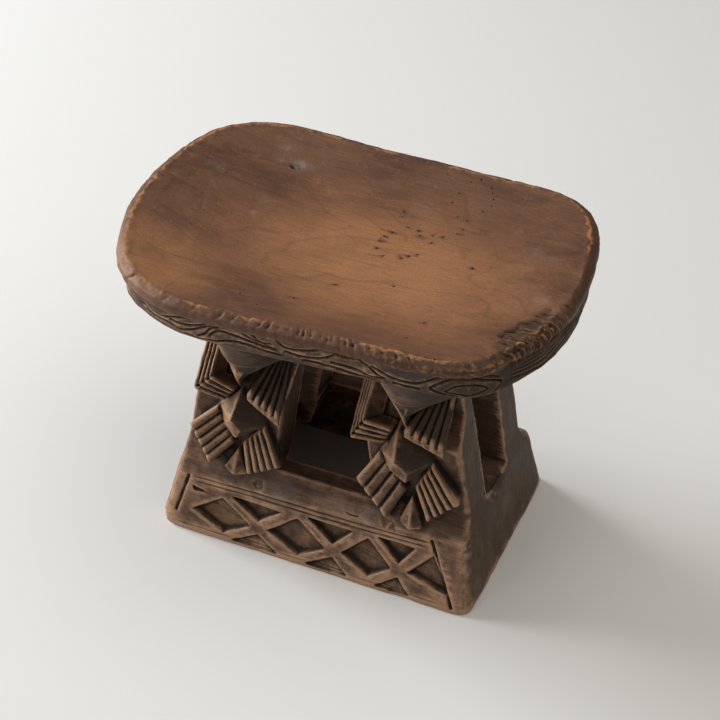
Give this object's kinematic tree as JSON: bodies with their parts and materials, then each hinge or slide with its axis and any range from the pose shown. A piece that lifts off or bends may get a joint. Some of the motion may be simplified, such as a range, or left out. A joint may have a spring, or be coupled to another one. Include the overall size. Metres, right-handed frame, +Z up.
{
  "type": "carved stool",
  "caption": "Low wooden stool carved from one block: dished oblong seat, legs with faceted bosses and ridged arms, open base ring with a lattice.",
  "frame": {"origin": "on the floor, under the middle of the seat's outline", "axes": "+X along the seat to the right of someone facing the front, +Y to the back, +Z up"},
  "size_m": [0.444, 0.3082, 0.34],
  "materials": {
    "wood": "hand carved, worn smooth on the seat, dusty in the hollows"
  },
  "bodies": {
    "root": {"carved_stool": "wood"}
  },
  "joints": []
}
